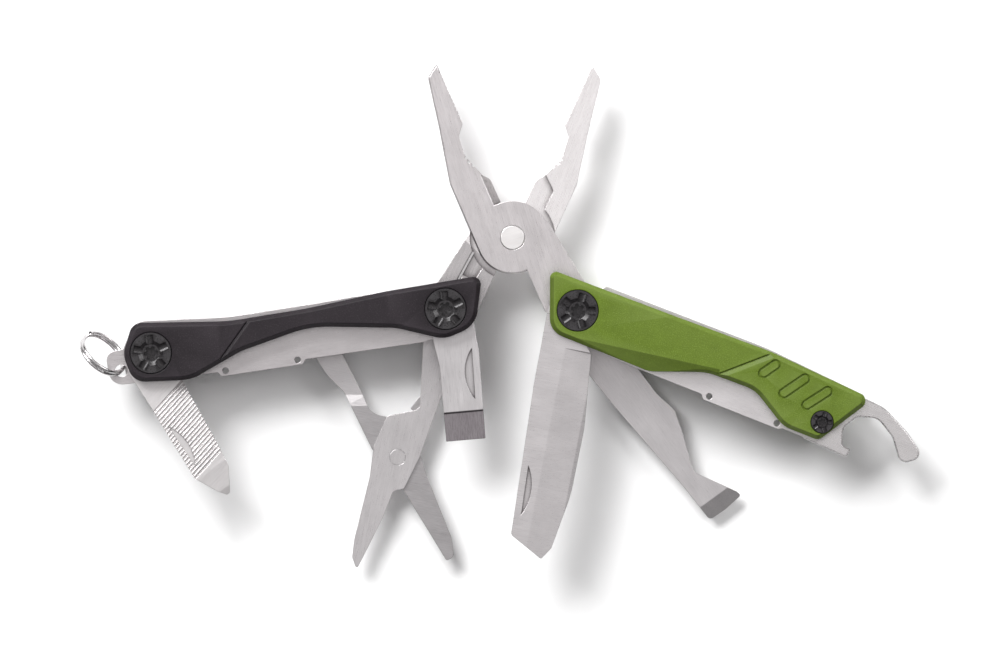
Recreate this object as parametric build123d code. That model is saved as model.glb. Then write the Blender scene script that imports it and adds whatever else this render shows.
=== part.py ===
from build123d import *
from math import atan2, cos, degrees, radians, sin, tan
import os

# A pocket multi tool: plier jaws between two folding handles that carry six tools.
# It lies on its rear scales with the jaws half open and every tool swung out.
# Build frame: plier rivet at the origin, X right, Y toward the jaws, Z up, and
# Z = 0 at the middle of the jaws. The parts are moved onto Z = 0 when they are written.
# Handle outlines are drawn as (s, n): s runs from the near pivot to the far end, and
# n points to the side that the pliers fold into. The left handle is that plan mirrored.

# ---------- driving dimensions, mm and degrees ----------
jaw_length = 33.4           # rivet to jaw tip
jaw_thick = 3.8
jaw_open = 24.1             # each jaw from the closing line, as it lies
tool_lean = -0.7            # the closing line's lean from +Y
boss_radius = 6.4
rivet_radius = 2.15
tang_reach = 16.3           # rivet to handle pivots, along the closing line
pivot_spacing = 10.8        # between the handle pivots, with the jaws closed
eye_radius = 3.9

handle_length = 52.2        # near pivot to far pivot
left_angle = 188.5          # where the left handle points
right_angle = -21.6         # where the right handle points
middle_gap = 5.0            # between a handle's two liners
liner_thick = 0.9
tool_gap = 2.56             # between a liner and its scale, for two levels of tools
scale_thick = 2.2
scale_bevel = 0.7
lip_inset = 0.5             # how far a liner's lip turns in toward the jaws
lip_height = 0.9

barrel_radius = 2.1
screw_head_radius = 3.6
screw_head_thick = 1.3
screw_shank_radius = 1.2
small_head_radius = 1.95
small_head_thick = 1.0
small_shank_radius = 0.7

blade_thick = 1.2
level_gap = 0.04            # above and below the tools in their gap
washer_radius = 3.2
knife_length = 44.0
package_length = 43.5
driver_length = 23.2
file_length = 28.2
file_pitch = 0.66
file_teeth = 22
file_tooth_angle = 109.0    # from the file's axis
scissor_reach = 27.4        # left near pivot to scissor rivet
scissor_leaf = 0.59         # thickness of each scissor blade
scissor_rivet_radius = 1.4
lever_bend = (9.0, 11.0)    # where the scissors' lever bends, above their rivet
lever_drop = 0.35
knife_angle = -101.0
package_angle = -54.0
driver_angle = -85.0
file_angle = -61.0
scissor_angle = -108.0

ring_radius = 4.3
ring_wire_radius = 0.33
ring_pitch = 0.70
ring_tilt = 60.0
ring_lie = 137.0            # from the hole to the ring's centre, from +X
ring_hole_radius = 1.1

running = 0.05              # radial clearance of a hole on its shaft
side_clear = 0.03           # between the two lapped bosses
hair = 0.02                 # between parts of one body that only meet

# ---------- sizes that follow from them ----------
half_jaw = jaw_thick / 2
lap_radius = boss_radius + 1.1      # the full thickness starts outside this circle
half_gap = middle_gap / 2
liner_top = half_gap + liner_thick
scale_floor = liner_top + tool_gap
scale_top = scale_floor + scale_thick
blade_low = liner_top + level_gap
level_step = tool_gap - 2 * level_gap - blade_thick
tang_length = (tang_reach**2 + (pivot_spacing / 2) ** 2) ** 0.5
tang_spread = degrees(atan2(pivot_spacing / 2, tang_reach))


def polar(radius, angle):
    """The point at a radius and an angle about the origin."""
    return Vector(radius * cos(radians(angle)), radius * sin(radians(angle)))


right_near = polar(tang_length, -90 + tool_lean + jaw_open + tang_spread)
left_near = polar(tang_length, -90 + tool_lean - jaw_open - tang_spread)
left_far = left_near + polar(handle_length, left_angle)
scissor_pivot = left_near + polar(scissor_reach, scissor_angle)


# ---------- shared helpers ----------
def outline(*corners):
    """A flat face from corners (x, y, fillet radius); each fillet stays within its two sides."""
    points = [Vector(x, y) for x, y, _ in corners]
    radii = []
    for index, (_, _, radius) in enumerate(corners):
        before = points[index - 1] - points[index]
        after = points[(index + 1) % len(points)] - points[index]
        half_corner = radians(before.get_angle(after) / 2)
        room = 0.48 * min(before.length, after.length) * tan(half_corner)
        radii.append(min(radius, room))
    return make_face(FilletPolyline(*points, radius=radii, close=True))


def slab(face, low, high):
    """A face of the XY plane made solid from one height to another."""
    return extrude(Pos(0, 0, low) * face, high - low)


def disc(radius, low, high, at=(0, 0)):
    """A round bar along Z."""
    return slab(Pos(at[0], at[1]) * Circle(radius), low, high)


def flipped(part):
    """The same piece turned to the rear layer."""
    return mirror(part, Plane.XY)


def in_right(part):
    """Puts a piece drawn in (s, n) on the right handle."""
    return Pos(right_near.X, right_near.Y) * Rot(0, 0, right_angle) * part


def in_left(part):
    """Puts a piece drawn in (s, n) on the left handle."""
    return Pos(left_near.X, left_near.Y) * Rot(0, 0, left_angle) * mirror(part, Plane.XZ)


def left_point(station, offset):
    """Where the (s, n) point of the left handle lies in the build frame."""
    return left_near + polar(station, left_angle) + polar(offset, left_angle - 90)


def on_pivot(part, pivot, angle):
    """Puts a tool drawn along +X on its pivot."""
    return Pos(pivot.X, pivot.Y) * Rot(0, 0, angle) * part


def pill(start, end, width):
    """A long hole with round ends between two points."""
    middle = ((start[0] + end[0]) / 2, (start[1] + end[1]) / 2)
    length = ((end[0] - start[0]) ** 2 + (end[1] - start[1]) ** 2) ** 0.5
    angle = degrees(atan2(end[1] - start[1], end[0] - start[0]))
    return Pos(middle[0], middle[1]) * Rot(0, 0, angle) * SlotOverall(length + width, width)


def along_x(corners, start, end):
    """A bar along X with a section given as (y, z) corners."""
    section = make_face(Polyline(*corners, close=True))
    return Pos(start, 0, 0) * extrude(Plane.YZ * section, end - start)


def along_y(corners, start, end):
    """A bar along Y with a section given as (x, z) corners."""
    section = make_face(Polyline(*corners, close=True))
    return Pos(0, start, 0) * extrude(Plane.XZ * section, end - start, dir=(0, 1, 0))


def top_edges(part, height):
    """The edges that lie wholly at one height."""
    return part.edges().filter_by_position(Axis.Z, height - 0.001, height + 0.001)


# ---------- plier jaws ----------
def jaw_face():
    """The jaw, boss and tang, with the closing line along +Y and the jaw left of it."""
    tip = jaw_length
    jaw = outline(
        (-0.05, tip, 0.3),
        (-0.05, tip - 11.6, 0.9),
        (-1.5, tip - 13.2, 0.8),
        (-2.0, tip - 16.8, 3.0),
        (-0.5, tip - 21.2, 1.0),
        (0.5, tip - 22.4, 1.6),
        (0.6, 5.5, 0),
        (0, 0, 0),
        (-boss_radius, 0, 0),
        (-boss_radius, tip - 20.4, 1.5),
        (-4.15, tip - 10.3, 8.0),
        (-2.5, tip - 1.7, 1.1),
    )
    pivot_x = pivot_spacing / 2
    tang = outline(
        (0.1, -4.0, 0),
        (0.1, -tang_reach + 2.2, 0.5),
        (pivot_x - eye_radius, -tang_reach, 0),
        (pivot_x + eye_radius, -tang_reach, 0),
        (8.3, -10.5, 6.0),
        (6.9, 0.0, 4.0),
        (4.0, 4.4, 0),
        (0, 0, 0),
    )
    boss = Circle(boss_radius)
    eye = Pos(pivot_x, -tang_reach) * Circle(eye_radius)
    return jaw + tang + boss + eye


def grip_teeth():
    """Cross grooves in the rounded pipe grip of a jaw."""
    grooves = []
    for step in range(6):
        height = jaw_length - 19.9 + 0.85 * step
        reach = -1.95 + 0.16 * (step - 3) ** 2
        grooves.append(Pos(reach, height) * Rot(0, 0, 45) * Rectangle(0.42, 0.42))
    for step in range(12):
        height = jaw_length - 10.6 + 0.8 * step
        grooves.append(Pos(-0.05, height) * Rot(0, 0, 45) * Rectangle(0.26, 0.26))
    return Sketch() + grooves


def jaw():
    """One jaw in closed position, with its lapped boss in the upper half."""
    body = slab(jaw_face() - grip_teeth(), -half_jaw, half_jaw)
    body = chamfer(top_edges(body, half_jaw).sort_by(Axis.Y)[-4:], 0.25)
    lap = outline((0.9, 4.0, 0), (0.9, 12.7, 0), (-0.4, 12.7, 0), (-3.1, 10.5, 0.5), (-3.1, 4.0, 0))
    body -= disc(lap_radius, -half_jaw, side_clear)
    body -= slab(lap, -half_jaw, side_clear)
    cutter = [(-0.8, half_jaw + 0.01), (0.7, half_jaw + 0.01), (0.7, 0.5)]
    body -= along_y(cutter, 6.45, 12.2)
    eye_at = (pivot_spacing / 2, -tang_reach)
    body += disc(eye_radius, -half_gap + running, half_gap - running, eye_at)
    body -= disc(barrel_radius + running, -half_gap, half_gap, eye_at)
    return body


def spring_slot(wide, low, high):
    """The narrow slot in a tang that holds its leaf spring."""
    leaf = outline((5.35, -12.3, 0), (4.9, -5.2, 0), (4.9 + wide, -5.2, 0), (5.35 + wide, -12.3, 0))
    return slab(leaf, low, high)


def pocket():
    """The hollow beside the leaf spring, where it bends when the jaws close."""
    face = outline((2.9, -9.6, 0.3), (2.3, -5.6, 0.3), (4.9, -4.6, 0), (5.2, -9.6, 0))
    return slab(face, half_jaw - 1.3, half_jaw + 1)


def mirrored_jaw(part):
    """The other jaw: mirrored across the closing line and turned over."""
    return mirror(flipped(part), Plane.YZ)


def open_jaw(part, side):
    """Swings a closed-position piece out to where it lies; side is 1 or -1."""
    return Rot(0, 0, tool_lean + side * jaw_open) * part


def rear_pocket(part):
    """A pocket or slot of the rear jaw, which opens toward the front."""
    return mirror(part, Plane.YZ)


rivet_hole = disc(rivet_radius + running, -half_jaw - 1, half_jaw + 1)
leaf_low = 0.5
front_plain = jaw()
rear_plain = mirrored_jaw(front_plain) - rivet_hole
rear_plain -= rear_pocket(spring_slot(0.55, leaf_low - 0.1, half_jaw + 1))
rear_plain -= rear_pocket(pocket())
front_plain -= disc(rivet_radius + hair, -half_jaw - 1, half_jaw + 1)
front_plain -= flipped(spring_slot(0.55, leaf_low - 0.1, half_jaw + 1))
front_plain -= flipped(pocket())
leaf = spring_slot(0.4, leaf_low, half_jaw - 0.15)
leaf = Pos(0.07, 0) * leaf

parts = {}
parts["plier_jaw_front"] = open_jaw(front_plain, 1)
parts["plier_jaw_rear"] = open_jaw(rear_plain, -1)
rivet = disc(rivet_radius, -half_jaw - 0.12, half_jaw + 0.12)
parts["plier_rivet"] = chamfer(rivet.edges().filter_by(GeomType.CIRCLE), 0.12)
parts["plier_spring_front"] = open_jaw(flipped(leaf), 1)
parts["plier_spring_rear"] = open_jaw(mirror(leaf, Plane.YZ), -1)


# ---------- handle outlines ----------
def left_scale_face():
    return outline(
        (-7.2, 4.9, 1.3), (10.0, 4.6, 20), (24.0, 3.7, 40), (38.0, 3.5, 30), (54.6, 5.7, 2.2),
        (57.1, 0.5, 4.0), (56.0, -4.6, 3.0), (46.0, -5.7, 8.0), (36.5, -2.0, 10), (24.0, 0.5, 20),
        (9.0, -2.0, 12), (1.0, -5.2, 5.0), (-4.8, -3.7, 4.5),
    )


def right_scale_face():
    return outline(
        (-7.2, 5.0, 1.1), (0.0, 5.1, 20), (15.0, 5.35, 40), (34.0, 5.8, 40), (53.8, 4.6, 1.4),
        (47.6, -5.6, 1.3), (41.0, -5.6, 5.0), (34.0, -1.5, 6.0),
        (25.0, -1.7, 10), (15.6, -5.3, 5.0), (-3.2, -5.2, 3.4),
    )


def left_liner_face():
    return outline(
        (-6.4, 4.6, 1.4), (10.0, 4.6, 20), (24.0, 4.35, 30), (38.0, 4.25, 30), (54.2, 5.9, 2.5),
        (57.0, 1.4, 1.0), (60.2, 1.2, 2.2), (60.1, -4.7, 2.5), (55.0, -4.8, 1.5),
        (41.2, -5.1, 0.3), (40.6, -5.9, 0.4), (26.2, -5.9, 0.4), (25.6, -5.1, 0.3),
        (5.0, -5.2, 3.0), (-4.6, -3.8, 4.0),
    )


def right_liner_face():
    return outline(
        (-6.4, 4.7, 1.2), (2.5, 4.9, 1.0), (3.0, 5.8, 0.5), (33.0, 6.1, 40), (52.6, 4.7, 1.0),
        (52.4, 3.2, 1.5), (47.2, -6.1, 0.8), (41.0, -6.0, 0.3), (40.4, -6.4, 0.3),
        (26.2, -6.4, 0.3), (25.6, -5.6, 0.3), (13.0, -5.6, 1.0), (-3.0, -4.9, 2.8),
    )


lip_near = 27.0
lip_far = 39.8
relief_radius = 0.55


def liner(face, lip_edge, far_hole, far_at):
    """The upper liner: a sheet with a lip that turns in along its outer edge."""
    sheet = slab(face, half_gap, liner_top)
    lip_face = Pos((lip_near + lip_far) / 2, lip_edge + lip_height / 2)
    lip_face *= Rectangle(lip_far - lip_near - 2 * relief_radius, lip_height)
    sheet += slab(lip_face, half_gap - lip_inset, half_gap + 0.1)
    for station in (lip_near, lip_far):
        sheet -= disc(relief_radius, 0, scale_top, (station, lip_edge + lip_height))
    sheet -= disc(barrel_radius + hair, 0, scale_top)
    sheet -= disc(far_hole + hair, 0, scale_top, far_at)
    return sheet


def scale(face, heads):
    """The upper scale: a bevelled cover with counterbores for its screw heads."""
    cover = slab(face, scale_floor, scale_top)
    cover = chamfer(top_edges(cover, scale_top), scale_bevel)
    for at, head_radius, head_thick, shank_radius in heads:
        cover -= disc(head_radius + 0.1, scale_top - head_thick, scale_top + 1, at)
        cover -= disc(shank_radius + hair, 0, scale_top, at)
    return cover


def step_line(start, end, width, depth):
    """A groove in a cover, steep on the left of its run and gently sloped on the right."""
    section = [(0.1, scale_top + 0.01), (0, scale_top - depth), (-width, scale_top + 0.01)]
    run = Vector(end[0] - start[0], end[1] - start[1])
    return Pos(*start) * Rot(0, 0, degrees(atan2(run.Y, run.X))) * along_x(section, 0, run.length)


def flank():
    """The wedge that slopes the green cover's outer side, from the near screw to the step."""
    drop = flank_reach * tan(radians(flank_slope))
    section = [
        (0, scale_top), (-flank_reach, scale_top - drop), (-flank_reach, scale_top + 1), (0, scale_top + 1),
    ]
    return Pos(*flank_start) * Rot(0, 0, flank_angle) * along_x(section, 0, flank_length)


flank_start = (-0.7, -4.9)
flank_angle = 9.2           # from the handle's axis
flank_slope = 16.0          # down toward the outer edge
flank_length = 28.0
flank_reach = 6.0           # past the outer edge
small_at = (47.0, -2.4)
far_at = (handle_length, 0)
near_head = ((0, 0), screw_head_radius, screw_head_thick, barrel_radius)
far_head = (far_at, screw_head_radius, screw_head_thick, barrel_radius)
small_head = (small_at, small_head_radius, small_head_thick, small_shank_radius)

# ---------- left handle ----------
left_scale = scale(left_scale_face(), (near_head, far_head))
stripe = step_line((32.9, 4.9), (43.2, -5.8), 0.5, 0.3)
left_liner = liner(left_liner_face(), -5.9, barrel_radius, far_at)
ring_at = (57.9, -2.3)
left_front_liner = left_liner - disc(ring_hole_radius, 0, scale_top, ring_at)
tab_cut = slab(Pos(60.3, -2) * Rectangle(6.0, 12), 0, scale_top)
left_rear_liner = left_liner - tab_cut
parts["left_front_scale"] = in_left(left_scale - stripe)
parts["left_rear_scale"] = in_left(flipped(left_scale - stripe))
parts["left_front_liner"] = in_left(left_front_liner)
parts["left_rear_liner"] = in_left(flipped(left_rear_liner))


def barrel():
    """A threaded sleeve through the whole handle, from one screw head to the other."""
    half = scale_top - screw_head_thick - hair
    return disc(barrel_radius, -half, half) - disc(screw_shank_radius + hair, -half, half)


def torx(radius, low, high):
    """A six-lobed drive recess."""
    star = Circle(radius * 0.72)
    for lobe in range(6):
        star += Pos(polar(radius * 0.72, 60 * lobe)) * Circle(radius * 0.26)
    return slab(star, low, high)


def screw(head_radius, head_thick, shank_radius, shank_end):
    """An upper screw: a dished head with scallops and a six-lobed recess."""
    head = disc(head_radius, scale_top - head_thick, scale_top)
    head = chamfer(top_edges(head, scale_top), 0.12)
    dish = Pos(0, 0, scale_top) * Cone(head_radius * 0.42, head_radius * 0.8, 0.7)
    head -= dish
    scoop = Pos(head_radius * 0.64, 0, scale_top + head_radius * 0.2) * Rot(0, 90, 0)
    scoop *= Cylinder(head_radius * 0.29, head_radius * 0.46)
    for scallop in range(5):
        head -= Rot(0, 0, 72 * scallop + 20) * scoop
    head -= torx(head_radius * 0.36, scale_top - head_thick * 0.85, scale_top + 1)
    return head + disc(shank_radius, shank_end, scale_top - head_thick)


main_screw = screw(screw_head_radius, screw_head_thick, screw_shank_radius, 0.6)
parts["left_near_barrel"] = in_left(barrel())
parts["left_far_barrel"] = in_left(Pos(handle_length, 0) * barrel())
for name, station in (("near", 0), ("far", handle_length)):
    placed = Pos(station, 0) * main_screw
    parts["left_" + name + "_screws"] = in_left(Compound([placed, flipped(placed)]))


def washer(radius, low, high):
    """A flat ring round a barrel."""
    return disc(radius, low, high) - disc(barrel_radius + hair, low, high)


over_inner = washer(washer_radius, blade_low + blade_thick + hair, scale_floor - hair)
under_outer = washer(washer_radius, liner_top + hair, blade_low + level_step - hair)
spacer = washer(4.2, liner_top + hair, scale_floor - hair)
parts["left_near_washers"] = in_left(Compound([over_inner, flipped(over_inner)]))
parts["left_far_washer"] = in_left(Pos(handle_length, 0) * over_inner)
parts["left_far_spacer"] = in_left(flipped(Pos(handle_length, 0) * spacer))
sleeve = washer(2.9, -half_gap + hair, half_gap - hair)
parts["left_far_sleeve"] = in_left(Pos(handle_length, 0) * sleeve)

# ---------- right handle ----------
right_cover = scale(right_scale_face(), (near_head, small_head))
small_boss = disc(small_head_radius, liner_top + hair, scale_floor + 0.1, small_at)
right_cover += small_boss - disc(small_shank_radius + hair, 0, scale_top, small_at)
grip_pills = (
    ((34.3, 1.8), (35.7, 3.9)),
    ((38.9, -0.2), (41.4, 3.5)),
    ((43.4, -0.6), (45.9, 2.9)),
)
pill_width = 1.9
pill_groove = 0.32
for start, end in grip_pills:
    ring_face = pill(start, end, pill_width) - pill(start, end, pill_width - 2 * pill_groove)
    right_cover -= slab(ring_face, scale_top - 0.25, scale_top + 1)
right_cover -= flank()
right_cover -= step_line((25.9, -2.2), (34.9, 6.05), 0.9, 0.35)
right_liner = liner(right_liner_face(), -6.4, small_shank_radius, small_at)
parts["right_front_scale"] = in_right(right_cover)
parts["right_rear_scale"] = in_right(flipped(right_cover))
parts["right_front_liner"] = in_right(right_liner)
parts["right_rear_liner"] = in_right(flipped(right_liner))
parts["right_near_barrel"] = in_right(barrel())
parts["right_near_washers"] = in_right(Compound([under_outer, flipped(under_outer)]))
parts["right_near_screws"] = in_right(Compound([main_screw, flipped(main_screw)]))
small_screw = Pos(small_at) * screw(small_head_radius, small_head_thick, small_shank_radius, 0.3)
parts["right_small_screws"] = in_right(Compound([small_screw, flipped(small_screw)]))

opener_half = 1.3


def bottle_opener():
    """The hook at the handle's end, with the root that the liners clamp."""
    hook = outline(
        (52.4, 4.3, 1.0), (56.5, 4.0, 6.0), (61.5, 1.6, 6.0), (66.2, -1.6, 1.6), (62.6, -4.2, 1.5),
        (59.6, -0.3, 3.0), (56.0, 1.8, 2.5), (52.6, 0.8, 1.5), (50.9, -2.0, 2.0),
        (52.0, -4.9, 0.3), (53.5, -5.0, 0.3), (53.4, -6.6, 0.5), (44.6, -6.2, 1.0),
        (44.6, 0.5, 1.0), (50.4, 0.7, 1.0),
    )
    root = outline(
        (44.6, 0.5, 1.0), (50.0, 0.5, 1.0), (50.0, -1.5, 0.5), (47.3, -5.6, 0.5), (44.6, -5.6, 0.5),
    )
    plate = slab(hook, -opener_half, opener_half)
    plate = chamfer(top_edges(plate, opener_half), 0.2)
    plate += slab(root, -half_gap + hair, half_gap - hair)
    return plate - disc(small_shank_radius + hair, -half_gap, half_gap, small_at)


parts["bottle_opener"] = in_right(bottle_opener())


# ---------- tools, each drawn along +X from its pivot, in the upper layer ----------
blade_top = blade_low + blade_thick
blade_middle = blade_low + blade_thick / 2
hub_hole = disc(barrel_radius + running, 0, scale_top)


def both_faces(cut):
    """The same cut on the upper and the lower face of a blade."""
    return cut + mirror(cut, Plane((0, 0, blade_middle)))


def nail_nick(start, end, depth, bulge):
    """A shallow thumbnail groove, straight on one side and bowed on the other."""
    middle = ((start[0] + end[0]) / 2, (start[1] + end[1]) / 2 + bulge)
    face = make_face([Edge.make_line(start, end), Edge.make_three_point_arc(end, middle, start)])
    return slab(face, blade_top - depth, blade_top + 1)


def knife():
    """A sheepsfoot blade with a long flat grind and a narrow edge bevel on both faces."""
    blade = outline(
        (-3.6, -2.2, 2.5), (0.5, -5.2, 3.0), (14.0, -5.1, 20), (28.0, -4.5, 30), (40.8, -4.0, 0.8),
        (knife_length, 2.0, 0.3), (41.8, 3.4, 0.6), (32.0, 5.0, 25), (20.0, 5.1, 20),
        (7.0, 3.8, 0.3), (5.6, 2.6, 1.0), (0.0, 4.0, 3.5), (-4.0, 3.4, 2.8),
    )
    grind = [
        (-0.9, blade_top), (5.4, blade_middle + 0.12), (5.4, blade_top + 1), (-0.9, blade_top + 1),
    ]
    edge = [
        (4.2, blade_middle + 0.24), (5.4, blade_middle - 0.02), (5.4, blade_top), (4.2, blade_top),
    ]
    body = slab(blade, blade_low, blade_top)
    body -= both_faces(along_x(grind, 6.9, knife_length + 1))
    body -= both_faces(along_x(edge, 6.9, knife_length + 1))
    return body - nail_nick((28.3, -3.3), (37.0, -2.9), 0.35, 1.1) - hub_hole


def package_opener():
    """A narrow blade that flares to a chisel-ground end with a hook on one side."""
    blade = outline(
        (-3.6, -2.6, 2.5), (2.0, -5.4, 3.0), (18.0, -4.6, 20), (36.0, -3.1, 20),
        (package_length, -2.8, 0.8), (package_length + 0.1, 0.5, 1.0), (43.2, 4.2, 0.4),
        (42.2, 4.0, 0.5), (35.2, 0.0, 0.6), (34.0, 0.2, 1.0), (28.3, 2.3, 6.0), (24.2, 3.6, 1.5),
        (20.0, 2.7, 4.0), (8.0, 2.6, 4.0), (3.0, 4.0, 3.0), (-4.0, 3.6, 2.8),
    )
    end = package_length + 0.5
    start = end - 3.3
    chisel = [(start, blade_top), (end, blade_low + 0.15), (end, blade_top + 1), (start, blade_top + 1)]
    body = slab(blade, blade_low, blade_top) - along_y(chisel, -4, 5)
    return body - hub_hole


def flat_driver():
    """A flat screwdriver with its tip ground thinner on both faces."""
    end = driver_length
    blade = outline(
        (-3.8, -2.2, 2.5), (3.0, -3.0, 3.0), (10.0, -1.9, 6.0), (end, -1.9, 0.15), (end, 5.0, 0.15),
        (8.0, 5.2, 6.0), (0.0, 4.4, 3.0), (-4.0, 3.2, 2.5),
    )
    start = end - 5.1
    ground = [
        (start, blade_top + 1), (start, blade_top), (start + 0.3, blade_top - 0.2),
        (end + 0.1, blade_top - 0.35), (end + 0.1, blade_top + 1),
    ]
    body = slab(blade, blade_low, blade_top) - both_faces(along_y(ground, -4, 7))
    return body - nail_nick((7.2, 4.0), (16.2, 3.8), 0.35, -1.5) - hub_hole


def file_driver():
    """A file with slanted teeth, ending in a pointed tip for cross-head screws."""
    tip = file_length
    blade = outline(
        (-3.6, -2.4, 2.5), (1.0, -5.2, 3.0), (8.0, -4.7, 6.0), (23.0, -4.0, 0.5), (26.9, -1.6, 0.4),
        (tip, -0.4, 0.3), (tip - 0.1, 0.2, 0.3), (26.4, 1.1, 0.4), (23.8, 2.3, 2.0), (18.0, 2.5, 10),
        (6.0, 2.4, 4.0), (2.0, 4.2, 3.0), (-4.0, 3.2, 2.8),
    )
    body = slab(blade, blade_low, blade_top)
    groove = Rot(0, 0, file_tooth_angle) * Rot(45, 0, 0) * Box(9.5, 0.3, 0.3)
    body -= [Pos(8.0 + file_pitch * step, -0.8, blade_top) * groove for step in range(file_teeth)]
    facet = [
        (0, blade_top), (4.0, blade_top - 0.2), (5.8, blade_top - 0.5),
        (5.8, blade_top + 1), (0, blade_top + 1),
    ]
    body -= both_faces(Pos(22.9, 0) * Rot(0, 0, 8.4) * along_y(facet, -6, 6))
    return body - nail_nick((12.8, -3.6), (21.2, -2.9), 0.35, 1.2) - hub_hole


# ---------- scissors, drawn about their own rivet with +Y up as they lie ----------
leaf_top = blade_top
leaf_split = leaf_top - scissor_leaf
leaf_bottom = leaf_split - hair - scissor_leaf


def scissor_front_blade():
    """The blade whose arm is hinged on the handle."""
    eye = left_near - scissor_pivot
    arm = outline(
        (-4.2, 2.0, 2.0), (-1.8, 7.3, 0.6), (3.9, 8.4, 1.2), (eye.X - 3.9, eye.Y - 4.0, 3.0),
        (eye.X - 3.9, eye.Y + 1.0, 1.0), (eye.X + 3.9, eye.Y, 1.0), (7.9, 11.1, 6.0),
        (3.9, 0.0, 6.0), (1.1, -5.6, 0.6), (-0.7, -5.9, 1.0), (-2.6, -10.7, 8.0),
        (-7.2, -19.8, 0.3), (-8.0, -17.6, 1.0), (-7.6, -14.4, 6.0), (-4.9, -3.5, 6.0),
    )
    face = arm + Pos(eye.X, eye.Y) * Circle(3.9)
    body = slab(face, leaf_split, leaf_top)
    return body - disc(barrel_radius + running, 0, scale_top, (eye.X, eye.Y))


def scissor_rear_blade():
    """The blade that its lever squeezes shut; the lever is bent down to clear the arm."""
    face = outline(
        (-15.4, 19.0, 0.8), (-12.4, 14.4, 4.0), (-9.4, 11.4, 2.0), (-4.4, 1.2, 6.0),
        (0.2, -4.4, 6.0), (2.6, -8.4, 8.0), (8.6, -18.2, 0.4), (9.9, -17.6, 0.8),
        (9.6, -14.4, 5.0), (5.1, -3.2, 6.0), (3.7, 1.5, 3.0), (1.4, 6.6, 1.5),
        (-4.6, 7.6, 3.0), (-6.2, 11.1, 3.0), (-10.4, 19.6, 0.8),
    )
    top = leaf_split - hair
    start, end = lever_bend
    body = slab(face, leaf_bottom - lever_drop, top)
    over = [(start, top), (end, top - lever_drop), (25, top - lever_drop), (25, top + 1)]
    body -= along_x(over, -20, 0)
    low = leaf_bottom - lever_drop
    under = [(-25, leaf_bottom), (start, leaf_bottom), (end, low), (-25, low - 1)]
    return body - along_x(under, -20, 20)


def scissor_spring():
    """The leaf behind the arm that pushes the rear blade open."""
    face = outline(
        (7.3, 16.2, 0.4), (4.4, 11.3, 1.5), (2.2, 8.6, 0.3),
        (3.0, 7.9, 0.3), (7.6, 11.4, 2.0), (9.0, 16.2, 0.4),
    )
    return slab(face, leaf_split - hair - 0.5, leaf_split - hair)


# ---------- lanyard ring: two close turns of wire ----------
def split_ring():
    """A split ring with its wire running along Z where it crosses the origin."""
    turns = 2 * ring_pitch
    path = Helix(pitch=ring_pitch, height=turns * 0.98, radius=ring_radius)
    wire = sweep(Plane(origin=path @ 0, z_dir=path % 0) * Circle(ring_wire_radius), path=path)
    return Pos(0, 0, -turns / 2) * wire


def placed_ring():
    """The split ring through the hole of the left front liner's tab."""
    hole = left_point(*ring_at)
    ring = Rot(ring_tilt, 0, 0) * Pos(ring_radius, 0, 0) * split_ring()
    return Pos(hole.X, hole.Y, half_gap + liner_thick / 2) * Rot(0, 0, ring_lie) * ring


def at_scissors(part):
    """Puts a piece of the scissors in the rear layer at their rivet."""
    return Pos(scissor_pivot.X, scissor_pivot.Y, -2 * blade_middle) * part


scissor_hole = disc(scissor_rivet_radius + running, 0, scale_top)
front_blade = scissor_front_blade() - disc(scissor_rivet_radius, 0, scale_top)
outer_level = Pos(0, 0, level_step)
rear_outer_level = Pos(0, 0, -2 * blade_middle - level_step)
parts["knife_blade"] = on_pivot(outer_level * knife(), right_near, knife_angle)
parts["package_opener"] = on_pivot(rear_outer_level * package_opener(), right_near, package_angle)
parts["flat_driver"] = on_pivot(flat_driver(), left_near, driver_angle)
parts["file_driver"] = on_pivot(file_driver(), left_far, file_angle)
parts["scissor_front_blade"] = at_scissors(front_blade)
parts["scissor_rear_blade"] = at_scissors(scissor_rear_blade() - scissor_hole)
parts["scissor_rivet"] = at_scissors(disc(scissor_rivet_radius, leaf_bottom, leaf_top))
parts["scissor_spring"] = at_scissors(scissor_spring())
parts["lanyard_ring"] = placed_ring()

# ---------- stand the whole on Z = 0, centred in X and Y, and write it ----------
whole = Compound([piece for part in parts.values() for piece in part.solids()]).bounding_box()
origin_shift = Vector(-whole.center().X, -whole.center().Y, -whole.min.Z)
os.makedirs("parts", exist_ok=True)
for name, part in parts.items():
    solids = (Pos(origin_shift) * part).solids()
    export_step(solids[0] if len(solids) == 1 else Compound(solids), "parts/" + name + ".step")
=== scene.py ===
import math

import bpy
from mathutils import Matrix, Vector


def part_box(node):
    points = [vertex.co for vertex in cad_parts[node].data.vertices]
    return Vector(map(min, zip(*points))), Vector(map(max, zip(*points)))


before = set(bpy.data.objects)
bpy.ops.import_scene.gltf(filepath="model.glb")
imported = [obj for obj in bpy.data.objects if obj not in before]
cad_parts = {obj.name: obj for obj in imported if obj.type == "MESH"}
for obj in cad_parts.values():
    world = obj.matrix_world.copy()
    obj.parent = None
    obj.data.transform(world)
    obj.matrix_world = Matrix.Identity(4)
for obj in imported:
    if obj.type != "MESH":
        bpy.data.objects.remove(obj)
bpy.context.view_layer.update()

MM = 0.001


def middle(node):
    """The centre of a node's box."""
    low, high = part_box(node)
    return (Vector(low) + Vector(high)) / 2


# ---------- the picture ----------
# The tool lies flat with its face up, so the camera looks straight down on it.
CAMERA_HEIGHT = 3.0
LENS = 600.0
PLAN_HEIGHT = 12.0 * MM                 # the height at which the picture's width is taken
PLAN_WIDTH = 175.44 * MM
SENSOR = LENS * PLAN_WIDTH / (CAMERA_HEIGHT - PLAN_HEIGHT)
RIVET = middle("plier_rivet")
VIEW_CENTRE = (RIVET.x - 2.19 * MM, RIVET.y - 14.9 * MM)

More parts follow.
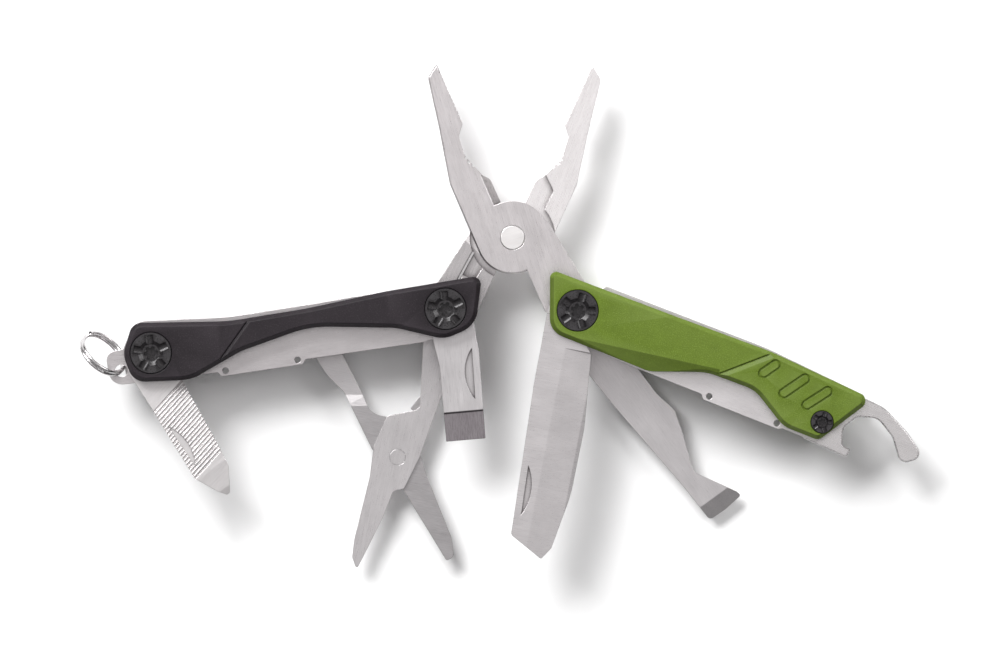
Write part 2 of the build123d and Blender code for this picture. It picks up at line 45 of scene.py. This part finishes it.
# ---------- the room ----------
TABLE_SIZE = 3.0
TABLE_DROP = 0.02 * MM                  # keeps the table clear of the lowest faces
SKY = ((0.0, 0.02), (0.55, 0.12), (0.90, 0.44), (0.985, 0.84))  # height of a direction, brightness
SKY_TINT = (1.0, 0.985, 0.99)

# ---------- headings in plan, in degrees from the X axis ----------
LEFT_ANGLE = 188.5
RIGHT_ANGLE = -21.6
DRIVER_ANGLE = -85
REAR_TANG_ANGLE = -133
LEVER_ANGLE = 118

# ---------- grain, as noise cells in a metre ----------
BRUSH_CELLS = (260, 9000)               # along the brush lines and across them
FINE_BRUSH_CELLS = (900, 19800)
CLOUD_CELLS = (160, 320)
SPARKLE_CELLS = (5200, 5200, 5200)
MOTTLE_CELLS = (420, 420, 420)
OXIDE_CELLS = (3600, 3600, 3600)
TURNED_CELLS = (1500, 1500, 9000)       # turning marks follow one another up the Z axis
TABLE_CELLS = (300, 300, 300)

# ---------- edges and grooves ----------
STEEL_CORNER = 0.14 * MM
PAINT_CORNER = 0.22 * MM
GROOVE_REACH = 1.2 * MM
# the colour of the painted shade in grooves and pockets
GROOVE_SHADE_COLOUR = (0.10, 0.085, 0.09, 1)
RUBBED_OXIDE = (0.10, 0.095, 0.10, 1)
GROUND_EDGE = 0.1 * MM                  # half the width over which a ground end begins
SHADE_LEAN_RANGE = (0.10, 0.24)               # where painted shade on a leaning face starts, and where it is darkest

# Blender's Mix node keeps its two colours and its colour result under these numbers.
MIX_FIRST = 6
MIX_SECOND = 7
MIX_RESULT = 2


def along(heading):
    """A line of length 1 in plan."""
    rise = math.radians(heading)
    return math.cos(rise), math.sin(rise), 0


# ---------- node helpers ----------
class Graph:
    """A material's node tree with short ways to add and join nodes."""

    def __init__(self, name):
        self.material = bpy.data.materials.new(name)
        self.material.use_nodes = True
        self.tree = self.material.node_tree
        self.shader = self.tree.nodes["Principled BSDF"]

    def add(self, kind, inputs=None, **settings):
        node = self.tree.nodes.new(kind)
        for key, value in settings.items():
            setattr(node, key, value)
        for key, value in (inputs or {}).items():
            self.feed(node.inputs[key], value)
        return node

    def feed(self, socket, value):
        """Joins a node's output to a socket, or sets the socket to a plain value."""
        if isinstance(value, bpy.types.NodeSocket):
            self.tree.links.new(value, socket)
        else:
            socket.default_value = value

    def finish(self, **values):
        """Feeds the shader's own sockets, each named with underscores for its spaces."""
        for name, value in values.items():
            self.feed(self.shader.inputs[name.replace("_", " ")], value)
        return self.material

    def place(self):
        return self.add("ShaderNodeTexCoord").outputs["Object"]

    def noise(self, cells, angle=0, detail=3.0, rough=0.6):
        """Noise with so many cells in a metre each way, turned by an angle about Z."""
        turned = self.add("ShaderNodeMapping", {"Vector": self.place()})
        turned.inputs["Rotation"].default_value = (0, 0, math.radians(-angle))
        sized = self.add("ShaderNodeMapping", {"Vector": turned.outputs[0]})
        sized.inputs["Scale"].default_value = cells
        inputs = {"Vector": sized.outputs[0], "Scale": 1.0, "Detail": detail, "Roughness": rough}
        return self.add("ShaderNodeTexNoise", inputs).outputs["Fac"]

    def streaks(self, cells, angle, grain=1.0, detail=3.0, rough=0.6):
        """Noise drawn out along an angle in plan."""
        long, short = (count * grain for count in cells)
        return self.noise((long, short, short), angle, detail, rough)

    def station(self, pivot, heading):
        """How far a point lies from a pivot, in metres, along a heading in plan."""
        inputs = {0: self.place(), 1: tuple(pivot)}
        away = self.add("ShaderNodeVectorMath", inputs, operation="SUBTRACT").outputs[0]
        return self.dot(away, along(heading))

    def leaning(self, heading):
        """How far a surface leans toward a heading in plan, from -1 to 1."""
        return self.dot(self.add("ShaderNodeTexCoord").outputs["Normal"], along(heading))

    def dot(self, first, second):
        inputs = {0: first, 1: second}
        return self.add("ShaderNodeVectorMath", inputs, operation="DOT_PRODUCT").outputs["Value"]

    def spread(self, value, low, high, new_low, new_high):
        """A value's range stretched to a new one."""
        inputs = {"Value": value, "From Min": low, "From Max": high, "To Min": new_low, "To Max": new_high}
        return self.add("ShaderNodeMapRange", inputs).outputs[0]

    def math(self, operation, first, second):
        return self.add("ShaderNodeMath", {0: first, 1: second}, operation=operation).outputs[0]

    def mix(self, factor, first, second, blend="MIX"):
        node = self.add("ShaderNodeMix", data_type="RGBA", blend_type=blend)
        self.feed(node.inputs["Factor"], factor)
        self.feed(node.inputs[MIX_FIRST], first)
        self.feed(node.inputs[MIX_SECOND], second)
        return node.outputs[MIX_RESULT]

    def shaded(self, colour, shade):
        """A colour made lighter or darker by a factor."""
        grey = self.add("ShaderNodeCombineColor", {"Red": shade, "Green": shade, "Blue": shade}).outputs[0]
        return self.mix(1.0, (*colour, 1), grey, "MULTIPLY")

    def bump(self, height, depth, normal=None):
        inputs = {"Height": height, "Distance": depth, "Strength": 1.0}
        if normal is not None:
            inputs["Normal"] = normal
        return self.add("ShaderNodeBump", inputs).outputs[0]

    def openness(self):
        """Near 1 on open faces and near 0 deep in a piece's own grooves and pockets, where it places
        painted shade.
        """
        inputs = {"Distance": GROOVE_REACH}
        return self.add("ShaderNodeAmbientOcclusion", inputs, samples=8, only_local=True).outputs["AO"]

    def soft_corner(self, radius):
        """The normal of slightly rounded edges."""
        return self.add("ShaderNodeBevel", {"Radius": radius}, samples=6).outputs[0]

    def edge_wear_and_highlight(self, strength):
        """As much as the strength on convex edges, and nothing on flat faces."""
        point = self.add("ShaderNodeNewGeometry").outputs["Pointiness"]
        return self.math("MULTIPLY", self.spread(point, 0.52, 0.60, 0.0, 1.0), strength)


# ---------- materials ----------
def brushed(name, colour, angle, rough=0.30, grain=1.0, contrast=0.10, cloud=0.06, groove_shade=0.9, end=None):
    """Steel with fine straight brush lines at an angle in plan, soft clouds and painted shade in its
    grooves.

    An end has a pivot, a heading, a start and a colour. Past its start, measured from the pivot
    along the heading, the steel is ground to its colour.
    """
    g = Graph(name)
    lines = g.streaks(BRUSH_CELLS, angle, grain, detail=4.0, rough=0.7)
    fine = g.streaks(FINE_BRUSH_CELLS, angle, grain, detail=2.0)
    streak = g.math("ADD", g.math("MULTIPLY", lines, 0.6), g.math("MULTIPLY", fine, 0.4))
    clouds = g.spread(g.streaks(CLOUD_CELLS, angle, rough=0.5), 0.3, 0.7, -cloud, cloud)
    shade = g.math("ADD", g.spread(streak, 0.35, 0.65, 1 - contrast, 1 + contrast), clouds)
    body = g.shaded(colour, shade)
    if end:
        reach = g.station(end["pivot"], end["heading"])
        past = g.spread(reach, end["start"] - GROUND_EDGE, end["start"] + GROUND_EDGE, 0.0, 1.0)
        rows = g.spread(streak, 0.38, 0.62, 0.6, 1.0)
        body = g.mix(g.math("MULTIPLY", past, rows), body, (*end["colour"], 1))
    # painted shade: grooves and pockets darken toward the groove shade colour
    groove_shade_mask = g.spread(g.openness(), 0.35, 0.95, 1 - groove_shade, 1.0)
    return g.finish(
        Base_Color=g.mix(groove_shade_mask, GROOVE_SHADE_COLOUR, body),
        Metallic=1.0,
        Roughness=g.spread(streak, 0.3, 0.7, rough - 0.07, rough + 0.10),
        Normal=g.bump(streak, 0.012 * MM, g.soft_corner(STEEL_CORNER)),
    )


def satin_paint(name, colour, speck, rough, shade_side=None):
    """A bead-blasted and coated scale: fine sparkle, slight mottling, and edges made lighter, partly as
    rubbed wear and partly as painted highlight.

    Faces that lean toward the given heading carry painted shade: they are darker in colour.
    """
    g = Graph(name)
    fine = g.noise(SPARKLE_CELLS, detail=2.0)
    coarse = g.noise(MOTTLE_CELLS, detail=4.0)
    dust = g.spread(fine, 0.55, 0.78, 0.0, 1.0)
    shade = g.math("MULTIPLY", g.spread(coarse, 0.3, 0.7, 0.92, 1.08), g.spread(fine, 0.3, 0.7, 0.86, 1.14))
    if shade_side is not None:
        # painted shade: faces leaning toward the heading are darker and their sparkle fainter
        shade_lean = g.leaning(shade_side)
        shade = g.math("MULTIPLY", shade, g.spread(shade_lean, *SHADE_LEAN_RANGE, 1.0, 0.6))
        dust = g.math("MULTIPLY", dust, g.spread(shade_lean, *SHADE_LEAN_RANGE, 1.0, 0.3))
    body = g.mix(g.math("MULTIPLY", dust, 0.55), g.shaded(colour, shade), (*speck, 1))
    return g.finish(
        # convex edges lighter: partly rubbed wear, partly painted highlight
        Base_Color=g.mix(g.edge_wear_and_highlight(0.35), body, (*speck, 1)),
        Roughness=g.spread(coarse, 0.3, 0.7, rough - 0.05, rough + 0.06),
        Specular_IOR_Level=0.25,
        Normal=g.bump(fine, 0.03 * MM, g.soft_corner(PAINT_CORNER)),
    )


def black_oxide(name):
    """Blackened screws: nearly black with a soft sheen and grey rubbed rims."""
    g = Graph(name)
    grain = g.noise(OXIDE_CELLS)
    ink = g.mix(g.spread(grain, 0.35, 0.7, 0.0, 1.0), (0.010, 0.009, 0.010, 1), (0.026, 0.023, 0.025, 1))
    return g.finish(
        Base_Color=g.mix(g.edge_wear_and_highlight(0.5), ink, RUBBED_OXIDE),
        Metallic=0.35,
        Roughness=g.spread(grain, 0.3, 0.7, 0.24, 0.36),
        Normal=g.bump(grain, 0.01 * MM),
    )


def polished(name, colour):
    """Polished wire and ground pins, with faint turning marks."""
    g = Graph(name)
    grain = g.noise(TURNED_CELLS)
    return g.finish(
        Base_Color=g.shaded(colour, g.spread(grain, 0.3, 0.7, 0.94, 1.04)),
        Metallic=1.0,
        Roughness=g.spread(grain, 0.3, 0.7, 0.20, 0.30),
    )


def pale_table():
    """A matt white table top with hardly any grain."""
    g = Graph("pale_table")
    grain = g.noise(TABLE_CELLS, rough=0.5)
    return g.finish(
        Base_Color=g.mix(grain, (0.93, 0.93, 0.93, 1), (0.96, 0.96, 0.96, 1)),
        Roughness=0.9,
        Specular_IOR_Level=0.1,
    )


looks = {
    "jaw_front": brushed("steel_jaw_front", (0.64, 0.61, 0.615), angle=107),
    "jaw_rear": brushed(
        "steel_jaw_rear", (0.88, 0.85, 0.85), angle=70, rough=0.28, contrast=0.05, cloud=0.03,
        end={"pivot": RIVET, "heading": REAR_TANG_ANGLE, "start": 6.0 * MM, "colour": (0.44, 0.42, 0.425)},
    ),
    "rivet": brushed("steel_rivet", (0.74, 0.72, 0.715), angle=20, rough=0.42, grain=0.6, contrast=0.04),
    "left_liner": brushed("steel_left_liner", (0.54, 0.515, 0.52), angle=LEFT_ANGLE),
    "right_liner": brushed("steel_right_liner", (0.72, 0.695, 0.70), angle=RIGHT_ANGLE),
    "knife": brushed("steel_knife", (0.63, 0.605, 0.61), angle=-11, contrast=0.06),
    "package": brushed("steel_package", (0.57, 0.55, 0.555), angle=-54, rough=0.32),
    "driver": brushed(
        "steel_driver", (0.60, 0.58, 0.585), angle=DRIVER_ANGLE, rough=0.32,
        end={
            "pivot": middle("left_near_barrel"), "heading": DRIVER_ANGLE,
            "start": 18.1 * MM, "colour": (0.20, 0.175, 0.19),
        },
    ),
    # weaker painted shade in the file's teeth
    "file": brushed("steel_file", (0.66, 0.64, 0.64), angle=48, rough=0.38, groove_shade=0.2),
    "scissor_front": brushed("steel_scissor_front", (0.57, 0.55, 0.555), angle=78, contrast=0.08),
    "scissor_rear": brushed(
        "steel_scissor_rear", (0.41, 0.395, 0.40), angle=-12, rough=0.32, contrast=0.16,
        end={
            "pivot": middle("scissor_rivet"), "heading": LEVER_ANGLE,
            "start": 12.2 * MM, "colour": (0.58, 0.56, 0.565),
        },
    ),
    "opener": brushed("steel_opener", (0.66, 0.64, 0.64), angle=RIGHT_ANGLE, rough=0.24),
    "black": satin_paint("scale_black", (0.006, 0.0035, 0.0055), speck=(0.055, 0.045, 0.053), rough=0.42),
    "green": satin_paint(
        "scale_green", (0.088, 0.138, 0.006), speck=(0.20, 0.27, 0.07), rough=0.46,
        shade_side=RIGHT_ANGLE - 90,
    ),
    "screw": black_oxide("screw_black"),
    "pin": polished("pin_steel", (0.70, 0.68, 0.68)),
    "wire": polished("ring_wire", (0.60, 0.585, 0.59)),
}

# What each node looks like. Every node that isn't named here is pin steel.
worn_by = {
    "plier_jaw_front": "jaw_front", "plier_jaw_rear": "jaw_rear", "plier_rivet": "rivet",
    "plier_spring_front": "wire", "plier_spring_rear": "wire", "scissor_spring": "scissor_rear",
    "left_front_scale": "black", "left_rear_scale": "black",
    "right_front_scale": "green", "right_rear_scale": "green",
    "left_front_liner": "left_liner", "left_rear_liner": "left_liner",
    "right_front_liner": "right_liner", "right_rear_liner": "right_liner",
    "left_near_screws": "screw", "left_far_screws": "screw",
    "right_near_screws": "screw", "right_small_screws": "screw",
    "bottle_opener": "opener", "knife_blade": "knife", "package_opener": "package",
    "flat_driver": "driver", "file_driver": "file", "scissor_front_blade": "scissor_front",
    "scissor_rear_blade": "scissor_rear", "scissor_rivet": "scissor_front", "lanyard_ring": "wire",
}
for node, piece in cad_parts.items():
    material = looks[worn_by.get(node, "pin")]
    if not piece.material_slots:
        piece.data.materials.append(material)
    for slot in piece.material_slots:
        slot.material = material


# ---------- stage, light and camera ----------
def floor():
    """A wide pale table top under the tool."""
    bpy.ops.mesh.primitive_plane_add(size=TABLE_SIZE, location=(0, 0, -TABLE_DROP))
    table = bpy.context.object
    table.name = "table_top"
    table.data.materials.append(pale_table())


def soft_box(name, place, size, watts):
    """An area light that faces the tool."""
    data = bpy.data.lights.new(name, "AREA")
    data.shape = "RECTANGLE"
    data.size, data.size_y = size
    data.energy = watts
    lamp = bpy.data.objects.new(name, data)
    lamp.location = place
    lamp.rotation_euler = (-Vector(place)).to_track_quat("-Z", "Y").to_euler()
    bpy.context.collection.objects.link(lamp)


def sky():
    """A room that is dark at the horizon and bright overhead."""
    world = bpy.data.worlds.new("studio")
    bpy.context.scene.world = world
    world.use_nodes = True
    tree = world.node_tree
    direction = tree.nodes.new("ShaderNodeTexCoord").outputs["Generated"]
    height = tree.nodes.new("ShaderNodeSeparateXYZ")
    tree.links.new(direction, height.inputs[0])
    ramp = tree.nodes.new("ShaderNodeValToRGB")
    tree.links.new(height.outputs["Z"], ramp.inputs[0])
    stops = ramp.color_ramp.elements
    while len(stops) < len(SKY):
        stops.new(1.0)
    for stop, (place, tone) in zip(stops, SKY):
        stop.position = place
        stop.color = (*(tone * share for share in SKY_TINT), 1)
    tree.links.new(ramp.outputs[0], tree.nodes["Background"].inputs["Color"])


def camera():
    """A long lens straight above the tool, at the picture's framing."""
    data = bpy.data.cameras.new("camera")
    data.lens = LENS
    data.sensor_width = SENSOR
    data.clip_end = 10
    view = bpy.data.objects.new("camera", data)
    view.location = (*VIEW_CENTRE, CAMERA_HEIGHT)
    bpy.context.collection.objects.link(view)
    bpy.context.scene.camera = view


floor()
sky()
soft_box("key", place=(-0.30, 0.42, 0.55), size=(0.45, 0.35), watts=8.0)
soft_box("fill", place=(0.55, 0.25, 0.45), size=(0.3, 0.3), watts=2.0)
camera()
bpy.context.scene.view_settings.view_transform = "Standard"
